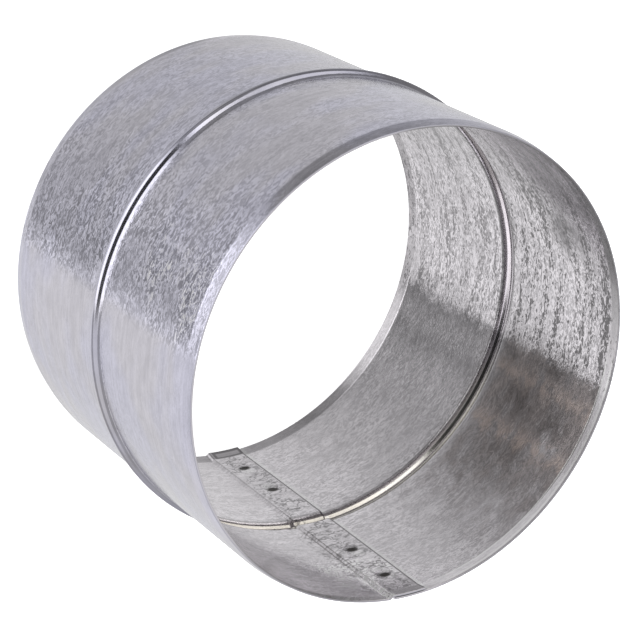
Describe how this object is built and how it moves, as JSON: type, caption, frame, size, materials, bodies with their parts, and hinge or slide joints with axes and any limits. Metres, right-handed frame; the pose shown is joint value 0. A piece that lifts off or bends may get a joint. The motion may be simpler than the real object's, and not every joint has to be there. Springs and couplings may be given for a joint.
{
  "type": "duct connector",
  "caption": "Round galvanised sleeve with a stop bead round its middle and rolled-in ends, which slides into the ends of two round ducts to join them.",
  "frame": {"origin": "on the sleeve's axis, at the level of its lower rim", "axes": "+Z along the sleeve's axis, up from the rim it stands on; -Y faces close beside the welded seam"},
  "size_m": [0.127, 0.127, 0.102],
  "materials": {
    "galvanised_sheet": "zinc coated, satin, with a fine streaky spangle"
  },
  "bodies": {
    "root": {"connector_sleeve": "galvanised_sheet"}
  },
  "joints": []
}
